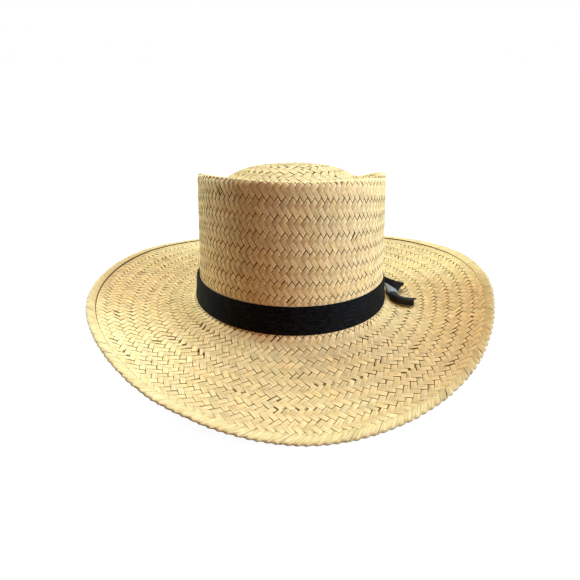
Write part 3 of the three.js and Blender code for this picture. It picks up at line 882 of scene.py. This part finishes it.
def ribbon_thread_group():
    """Grosgrain's fine thread, and where a faint bloom makes it paler."""
    group, given, out = new_group(
        "ribbon_thread", {"Thread Scale": 1000.0, "Bloom Scale": 50.0},
        {"Worn": "NodeSocketFloat", "Thread": "NodeSocketFloat"})
    place = group.nodes.new("ShaderNodeTexCoord").outputs["Object"]
    thread = add_node(group, "TexNoise", {"Vector": place, "Scale": given["Thread Scale"], "Detail": 2.0})
    bloom = add_node(group, "TexNoise", {"Vector": place, "Scale": given["Bloom Scale"], "Detail": 3.0})
    both = add_node(
        group, "Math", {0: thread.outputs["Fac"], 1: bloom.outputs["Fac"]}, operation="MULTIPLY")
    worn = add_node(group, "MapRange", {"Value": both.outputs["Value"], "From Min": 0.15, "From Max": 0.45})
    set_sockets(group, out, {"Worn": worn.outputs["Result"], "Thread": thread.outputs["Fac"]})
    return group


def new_material(name):
    material = bpy.data.materials.new(name)
    material.use_nodes = True
    tree = material.node_tree
    tree.nodes.clear()
    shader = tree.nodes.new("ShaderNodeBsdfPrincipled")
    output = tree.nodes.new("ShaderNodeOutputMaterial")
    tree.links.new(shader.outputs["BSDF"], output.inputs["Surface"])
    return material, tree, shader


def relief(tree, height, strength, distance):
    """The normal of a surface with fine relief of this height."""
    bump = add_node(tree, "Bump", {"Height": height, "Strength": strength, "Distance": distance})
    return bump.outputs["Normal"]


def straw_material(name, light, deep, painted_shade_depth):
    """Woven palm in a light and a deep colour, with painted shade where strands are tucked away and at their
    edges.
    """
    material, tree, shader = new_material(name)
    strand = add_node(tree, "Group", {
        "Light": (*light, 1), "Deep": (*deep, 1), "Painted Shade Depth": painted_shade_depth, "Fineness": FIBRE_FINENESS,
    }, node_tree=palm_strand).outputs
    set_sockets(tree, shader, {
        "Base Color": strand["Colour"], "Roughness": strand["Roughness"],
        "Normal": relief(tree, strand["Fibre"], 0.35, 0.00012), "Specular IOR Level": STRAW_SPECULAR})
    return material


def shadow_material():
    """Painted shadow: a near-black surface seen only through the gaps of the weave, standing in for the
    shade under the strands.
    """
    material, tree, shader = new_material("straw_shadow")
    noise = add_node(tree, "TexNoise", {"Scale": 900.0})
    set_sockets(tree, shader, {
        "Base Color": colour_mix(tree, noise.outputs["Fac"], *SHADOW_COLOURS),
        "Roughness": 0.9, "Specular IOR Level": 0.0})
    return material


def ribbon_material(name, blacks, specular):
    """Black grosgrain: dull thread with a faint grey bloom, and painted glints and a painted pale sheen
    where its tint asks for them.
    """
    material, tree, shader = new_material(name)
    thread = add_node(
        tree, "Group", {"Thread Scale": THREAD_SCALE, "Bloom Scale": BLOOM_SCALE},
        node_tree=ribbon_thread).outputs
    own = add_node(tree, "Attribute", {}, attribute_name="tint_and_painted_light")
    black = colour_mix(tree, thread["Worn"], *blacks)
    set_sockets(tree, shader, {
        "Base Color": colour_mix(tree, own.outputs["Color"], black, PAINTED_SHEEN),
        "Normal": relief(tree, thread["Thread"], 0.5, 0.0001), "Roughness": 0.6,
        "Specular IOR Level": specular, "Sheen Weight": 0.03, "Sheen Roughness": 0.4})
    return material


palm_strand = palm_strand_group()
ribbon_thread = ribbon_thread_group()
straw = straw_material("palm_straw", *STRAW_COLOURS)
straw_inside = straw_material("palm_straw_inside", *STRAW_INSIDE_COLOURS)
straw_shadow = shadow_material()
ribbon = ribbon_material("black_ribbon", BAND_BLACKS, BAND_SPECULAR)
ribbon_tails = ribbon_material("black_ribbon_tails", TAIL_BLACKS, TAIL_SPECULAR)

# ---- the woven pieces ----
rng = np.random.default_rng(SEED)


def row_places(start_step_change, bands):
    """The place of each band's start, and of the last one's end, two bands to a row."""
    row = np.arange(bands + 1) / 2
    start, step, change = start_step_change
    return start + step * row + change * row ** 2


def counts_from(table, values):
    return np.rint(np.interp(values, *zip(*table))).astype(int)


wall_edges = FOOT_RUN - row_places(WALL_ROWS, WALL_BANDS)
brim_edges = FOOT_RUN + row_places(BRIM_ROWS, BRIM_BANDS)
brim_edges[0] = wall_edges[-1]
HEM_LINE = brim_edges[-1]
top_edges = np.linspace(CENTRE_HOLE, wall_edges[0], TOP_BANDS + 1)

top_counts = counts_from(TOP_STRANDS, (top_edges[:-1] + top_edges[1:]) / 2 / top_edges[-1])
brim_counts = counts_from(BRIM_STRANDS, brim_edges[:-1] - FOOT_RUN)
first_turns = np.arange(top_counts[0]) / top_counts[0]
top_bands = weave_bands(top_edges, top_counts, first_turns, rng)
wall_bands = weave_bands(wall_edges, np.full(WALL_BANDS, WALL_STRANDS), top_bands[-1][3], rng)
brim_bands = weave_bands(brim_edges, brim_counts, wall_bands[-1][3], rng)

for name, part, bands, first_leans_left, outer in (
    ("crown_top_weave", "top", top_bands, TOP_BANDS % 2 == 0, True),
    ("crown_wall_weave", "wall", wall_bands, True, True),
    ("brim_weave", "brim", brim_bands, True, True),
    ("crown_top_lining_weave", "top", top_bands, TOP_BANDS % 2 == 0, False),
    ("crown_wall_inner_weave", "wall", wall_bands, True, False),
    ("brim_under_weave", "brim", brim_bands, True, False),
):
    woven_piece(name, part, bands, first_leans_left, outer, rng)


def crown_centre():
    """The round of crossed strands under the hole in the middle of the crown's top."""
    spots = np.linspace(-1, 1, CENTRE_SPOTS)
    u, v = np.meshgrid(spots, spots, indexing="ij")
    x = CENTRE_ROUND * u * np.sqrt(1 - v ** 2 / 2)
    y = CENTRE_ROUND * v * np.sqrt(1 - u ** 2 / 2)
    height = RIM_HEIGHT + TOP_PROFILE[0, 1] - RIM_FRONT_RISE * y / RIM_OVAL[1]
    sag = CENTRE_SAG * (x ** 2 + y ** 2) / CENTRE_ROUND ** 2
    above, below = (
        np.stack([x, y - RIM_LEAN, z], -1) for z in (height - CENTRE_DEPTH - sag, height - INNER_FACE + sag))
    points, faces = closed_sheet(above, below)
    place = np.concatenate([np.stack([x, y], -1)] * 2, axis=1)
    tint = np.ones((points.size // 3, 4)) * (TOP_TONE, TOP_TONE, TOP_TONE, 0)
    return mesh_object(
        "crown_centre_weave", points, faces, straw,
        uv=place / (2 * CENTRE_ROUND) + 0.5, fibre=place, tint=tint)


def core():
    """A painted shadow: a thin dark closed shell between the two faces of the weave, seen through its gaps.
    """
    runs = np.linspace(CORE_STARTS, EDGE_RUN - CORE_SHORT_OF_EDGE, CORE_RINGS)[:, None]
    turns = np.arange(CORE_SPOTS) / CORE_SPOTS
    outer, inner = (sheet(runs, turns, lift) for lift in CORE_FACES)
    points = np.concatenate([outer, inner[::-1]])
    return mesh_object("straw_shadow_shell", points, tube_faces(len(points), CORE_SPOTS), straw_shadow)


crown_centre()
straw_shadow_shell = core()
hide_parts("straw_body")


# ---- the hem ----

def hem(count):
    """Strips leaning round the edge, each folded over it, with slightly uneven ends."""
    steps = lengths_along(HEM_PATH[:, :2])
    around_mm = ring_length[-1]
    each = (count, 1, 1)
    turns = (np.arange(count) + rng.normal(0, HEM_PLACE_SPREAD, count)) / count
    width = around_mm / count / math.hypot(1, HEM_LEAN)
    across, profile, width_painted_light, edge_painted_shade = HEM_SECTION.T
    across_mm = across * width / 2 * rng.uniform(*HEM_WIDTHS, each)
    along = steps[:, None]
    distance = along + across_mm * WIDTH_ALONG

    def path_at(places, column):
        return np.interp(places, steps, HEM_PATH[:, column])

    mm_round = turns[:, None, None] * around_mm - along * HEM_LEAN + across_mm * WIDTH_ROUND
    outer_part = np.clip((HEM_PATH[:, 0, None] - HEM_REACH_FROM) / HEM_REACH_OVER, 0, 1)
    reach = rng.normal(0, HEM_REACH_SPREAD, each) * outer_part
    # The profile stands out from the fold, so on the underside it is turned over.
    step_run, step_lift = (
        path_at(distance + SLOPE_REACH, column) - path_at(distance - SLOPE_REACH, column)
        for column in (0, 1))
    stand = profile / (np.hypot(step_run, step_lift) + TINY)
    run = HEM_LINE + path_at(distance, 0) + reach - step_lift * stand
    points = sheet(run, mm_round / around_mm, path_at(distance, 1) + step_run * stand)
    fibre = np.stack(np.broadcast_arrays(
        along + rng.uniform(0, FIBRE_FIELD, each), across_mm + rng.uniform(0, FIBRE_FIELD, each)), -1)
    shown = rng.uniform(*HEM_OUTLINES, each)
    painted_light = (1 + (width_painted_light - 1) * shown) * path_at(distance, 2)
    # The painted shade round the edge and underneath differs a little from strip to strip.
    on_edge = np.where(HEM_PATH[:, 2] < HEM_EDGE_BRIGHTNESS, 1.0, 0.0)[:, None]
    painted_light = painted_light * (1 + on_edge * rng.uniform(*HEM_EDGE_SHADES, each))
    # A painted shadow line along the fold's inner edge, darker at the back and sides.
    line = around(HEM_FOLD_SHADOW, 1, turns * 360)[:, None] * (np.arange(len(HEM_PATH)) == HEM_FOLD_ROW)
    tint = np.empty((count, len(HEM_PATH), len(across), 4))
    tint[..., :3] = strand_tints(count, rng, HEM_CONTRAST)[:, None, None, :] * painted_light[..., None]
    tint[..., 3] = np.clip(np.maximum(edge_painted_shade * shown, line[:, :, None]), 0, 1)
    one = strand_faces(len(HEM_PATH), HEM_SECTION)
    return mesh_object(
        "hem_weave", points, strips(one, count, 0, len(HEM_PATH) * len(across)), straw,
        uv=cells(0, count, side_for(count), len(HEM_PATH), len(across)), fibre=fibre, tint=tint)


def fold_shadow_line():
    """A painted shadow: a dark line along the fold's inner edge, fading out round the front."""
    turns = np.arange(FOLD_SHADOW_SPOTS) / FOLD_SHADOW_SPOTS
    dark = np.clip(around(HEM_FOLD_SHADOW, 1, turns * 360), FOLD_SHADOW_THINNEST, 1)
    round_it = np.arange(FOLD_SHADOW_SIDES)[:, None] * 2 * math.pi / FOLD_SHADOW_SIDES
    run = HEM_LINE + FOLD_SHADOW_AT + FOLD_SHADOW_THICKNESS / 2 * dark * np.cos(round_it)
    points = sheet(run, turns, FOLD_SHADOW_LIFT + FOLD_SHADOW_THICKNESS / 2 * dark * np.sin(round_it))
    return mesh_object("hem_fold_shadow", points, tube_faces(FOLD_SHADOW_SIDES, FOLD_SHADOW_SPOTS), straw_shadow)


hem(HEM_STRIPS)
fold_shadow_line()


# ---- the ribbon ----

def band():
    """The ribbon round the crown: a ribbed face, rolled edges and a plain back."""
    share, turns = np.linspace(0, 1, BAND_ROWS)[:, None], np.arange(BAND_SPOTS) / BAND_SPOTS
    face = RIB_RELIEF * waves(RIBS, share) - BAND_EDGE_ROLL * np.abs(2 * share - 1) ** BAND_EDGE_SHARPNESS
    dip = BAND_DIP * hump(turns * 360, BAND_DIP_AT, BAND_DIP_SPREAD)
    heights = BAND_FOOT + (BAND_TOP - BAND_FOOT - dip) * share
    off = BAND_OFF * hump(turns * 360, BAND_OFF_AT, BAND_OFF_SPREAD)
    outer = sheet(wall_run(heights), turns, BAND_GAP + BAND_THICKNESS + face + off)
    for high, count, start in BAND_WAVES:
        outer[..., 2] += share ** 3 * high * waves(count, turns, start - 0.25)
    inner = sheet(wall_run(heights[::-5]), turns, BAND_GAP)
    points = np.concatenate([outer, inner])
    # Painted glints: the threads on the crests of the ribs are painted a little paler, as if they caught the
    # light.
    painted_glint = np.zeros((*points.shape[:2], 4))
    specks = np.random.default_rng(SEED).uniform(0, 1, outer.shape[:2]) ** 3
    painted_glint[:BAND_ROWS, :, :3] = (BAND_PAINTED_GLINT * (0.5 + 0.5 * waves(RIBS, share)) * specks)[..., None]
    faces = tube_faces(len(points), BAND_SPOTS)[:, ::-1]
    return mesh_object("ribbon_band", points, faces, ribbon, tint=painted_glint)


def knot():
    """A short turn of the ribbon about the band, pinched in the middle, with upright ribs."""
    u, v = np.linspace(-1, 1, KNOT_COLUMNS), np.linspace(-1, 1, KNOT_ROWS)[:, None]
    run = wall_run(KNOT_FOOT + (KNOT_TOP - KNOT_FOOT) * (v + 1) / 2)
    pinch = KNOT_WAIST + (1 - KNOT_WAIST) * v ** 2
    turn = KNOT_TURN + KNOT_HALF_WIDTH * u * pinch / np.interp(run, grid_runs, ring_length)
    face = BAND_GAP + BAND_THICKNESS + KNOT_GAP
    rise = np.sqrt(np.maximum((1 - u ** 2) * (1 - v ** KNOT_SQUARENESS), 0))
    fold, rib = (deep * waves(count, u) for deep, count in (KNOT_FOLDS, KNOT_RIBS))
    outer = sheet(run, turn, face + KNOT_EDGE + (KNOT_BULGE + fold) * rise + rib)
    return mesh_object("ribbon_knot", *closed_sheet(outer, sheet(run, turn, face)), ribbon)


def normals_of(middle):
    """The directions square to a grid of points."""
    return unit(np.cross(np.gradient(middle, axis=0), np.gradient(middle, axis=1)))


def tail_sheet(name, middle, across_mm, painted_sheen=0.0):
    """A thin closed ribbon about a grid of points, ribbed on both faces. across_mm is the place
    of each column across the ribbon, and the last argument is how much painted sheen each point of its
    front face gets."""
    half = TAIL_THICKNESS / 2 + TAIL_RIB_RELIEF * waves(1 / RIB_SPACING, across_mm)[:, None]
    normal = normals_of(middle)
    points, faces = closed_sheet(middle + normal * half, middle - normal * half)
    tint = np.zeros((*points.shape[:2], 4))
    tint[:, :middle.shape[1], :3] = np.asarray(painted_sheen)[..., None]
    return mesh_object(name, points, faces, ribbon_tails, tint=tint)


def upper_tail():
    share = np.linspace(0, 1, UPPER_ROWS)
    w = np.linspace(-1, 1, UPPER_COLUMNS)
    crest, front, behind = (
        np.stack([through(UPPER_TAIL, share, column + k, False) for k in range(3)], 1)[:, None]
        for column in (1, 4, 7))
    soft = np.sqrt(w ** 2 + FOLD_SOFTNESS ** 2) - (math.sqrt(1 + FOLD_SOFTNESS ** 2) - 1)
    to_front, to_behind = (soft - w)[:, None] / 2, (soft + w)[:, None] / 2
    middle = crest + (front - crest) * to_front + (behind - crest) * to_behind
    share = share[:, None]
    belly = UPPER_BELLY * np.sin(math.pi * np.abs(w))
    belly = belly * np.sin(math.pi * (BELLY_FROM + share * (1 - BELLY_FROM)))
    ripple = UPPER_RIPPLE * waves(1, RIPPLES_ALONG * share + RIPPLES_ACROSS * w, -0.25)
    middle = middle - normals_of(middle) * (belly + ripple)[..., None]
    return tail_sheet("ribbon_tail_upper", middle, w * RIBBON_WIDTH / 2)


def lower_tail():
    curl = np.radians(CURL_OPENS_AT + (360 - CURL) / 2 + np.linspace(0, CURL, LOWER_COLUMNS))
    plain = np.linspace(0, 1, LOWER_ROWS)[:, None]
    past = np.degrees(np.mod(curl, 2 * math.pi))
    loose = LOOSE_CORNER * hump(past, LOOSE_CORNER_AT, LOOSE_CORNER_SPREAD) / LOWER_TAIL_LENGTH
    share = plain * (1 + plain ** LOOSE_CORNER_POWER * loose)
    x, y, z, wide, high, tilt_of = (
        through(LOWER_TAIL, np.minimum(share, 1.0), column, False) for column in range(1, 7))
    end_step = (LOWER_TAIL[-1, 1:4] - LOWER_TAIL[-2, 1:4]) / (LOWER_TAIL[-1, 0] - LOWER_TAIL[-2, 0])
    centre = np.stack([x, y, z], -1) + np.maximum(share - 1.0, 0)[..., None] * end_step
    path = np.stack([through(LOWER_TAIL, plain[:, 0], column, False) for column in (1, 2, 3)], 1)
    along = unit(np.gradient(path, axis=0))
    level = unit(np.cross(along, (0, 0, 1)))
    upright = np.cross(level, along)[:, None]
    level = level[:, None]
    cos_tilt, sin_tilt = np.cos(np.radians(tilt_of))[..., None], np.sin(np.radians(tilt_of))[..., None]
    across = level * cos_tilt + upright * sin_tilt
    over = upright * cos_tilt - level * sin_tilt
    dent = 1 + sum(deep * np.sin(count * curl + shift * plain) for deep, count, shift in LOWER_DENTS)
    middle = (
        centre + across * (wide * np.cos(curl) * dent)[..., None]
        + over * (high * np.sin(curl) * dent)[..., None])
    part = np.linspace(0, 1, LOWER_COLUMNS)
    painted_sheen = step_between(share, *SHEEN_ALONG) * step_between(part, *SHEEN_ACROSS)
    return tail_sheet("ribbon_tail_lower", middle, (part - 0.5) * RIBBON_WIDTH, painted_sheen)


for piece, node, flat, held, on in (
    (band(), "hat_band", (RIBBON_WIDTH * MM, BAND_LENGTH), "stretched", "crown_wall_weave"),
    (knot(), "band_knot", (0.0135, 0.010), "folded", "ribbon_band"),
    (upper_tail(), "tail_upper", (RIBBON_WIDTH * MM, UPPER_TAIL_LENGTH * MM), "folded", "ribbon_knot"),
    (lower_tail(), "tail_lower", (RIBBON_WIDTH * MM, LOWER_TAIL_LENGTH * MM), "folded", "brim_weave"),
):
    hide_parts(node)


# ---- floor, light and camera ----

def pale_floor():
    """A plain floor: grey to the hat, so that little light comes up from it, and white to be seen."""
    mesh = bpy.data.meshes.new("floor")
    corners = [(x * FLOOR_HALF, y * FLOOR_HALF, 0) for x, y in ((-1, -1), (1, -1), (1, 1), (-1, 1))]
    mesh.from_pydata(corners, [], [(0, 1, 2, 3)])
    floor = bpy.data.objects.new("floor", mesh)
    floor.location.z = FLOOR_HEIGHT
    bpy.context.scene.collection.objects.link(floor)
    material, tree, shader = new_material("pale_floor")
    seen = tree.nodes.new("ShaderNodeLightPath").outputs["Is Camera Ray"]
    set_sockets(tree, shader, {
        "Base Color": colour_mix(tree, seen, (FLOOR_GREY,) * 3, (FLOOR_SEEN_GREY,) * 3),
        "Emission Color": (FLOOR_GLOW, FLOOR_GLOW, FLOOR_GLOW, 1),
        "Emission Strength": seen, "Roughness": 0.9})
    mesh.materials.append(material)


def soft_sun(name, around_hat, height, strength, spread, colour):
    """An even, soft light from far off, so many degrees round from the hat's front and so high."""
    turn, rise = math.radians(around_hat), math.radians(height)
    direction = math.sin(turn) * math.cos(rise), -math.cos(turn) * math.cos(rise), math.sin(rise)
    light = bpy.data.lights.new(name, "SUN")
    light.energy = strength
    light.angle = math.radians(spread)
    light.color = colour
    lamp = bpy.data.objects.new(name, light)
    lamp.rotation_mode = "QUATERNION"
    lamp.rotation_quaternion = Vector(direction).to_track_quat("Z", "Y")
    bpy.context.scene.collection.objects.link(lamp)


def surroundings():
    """An even room: a warm dim light for the hat, and plain white to be seen behind it."""
    world = bpy.data.worlds.new("studio")
    bpy.context.scene.world = world
    world.use_nodes = True
    tree = world.node_tree
    seen = tree.nodes.new("ShaderNodeLightPath").outputs["Is Camera Ray"]
    strength = add_node(tree, "MapRange", {"Value": seen, "To Min": ROOM_STRENGTH, "To Max": 1.0})
    set_sockets(tree, tree.nodes["Background"], {
        "Color": colour_mix(tree, seen, ROOM_COLOUR, (1, 1, 1)), "Strength": strength.outputs["Result"]})


def make_camera():
    """The camera stands a little to the wearer's right of the front and looks down at the crown."""
    turn = Matrix.Rotation(-HAT_YAW, 4, "Z")
    aim = Matrix.Rotation(math.pi / 2 - CAMERA_DOWN, 4, "X")
    place = Matrix.Translation((0, -CAMERA_DISTANCE, CAMERA_HEIGHT))
    world_place = to_table @ turn @ place @ aim
    data = bpy.data.cameras.new("camera")
    data.sensor_width = SENSOR_WIDTH
    data.lens = LENS
    data.shift_x = SIDE_SHIFT
    data.clip_start = NEAREST_SEEN
    camera = bpy.data.objects.new("camera", data)
    camera.rotation_mode = "QUATERNION"
    camera.location = world_place.translation * MM
    camera.rotation_quaternion = world_place.to_quaternion()
    bpy.context.scene.collection.objects.link(camera)
    bpy.context.scene.camera = camera


pale_floor()
for lamp in LAMPS:
    soft_sun(*lamp)
surroundings()
make_camera()
bpy.context.scene.view_settings.view_transform = "Standard"
bpy.context.scene.view_settings.look = "None"
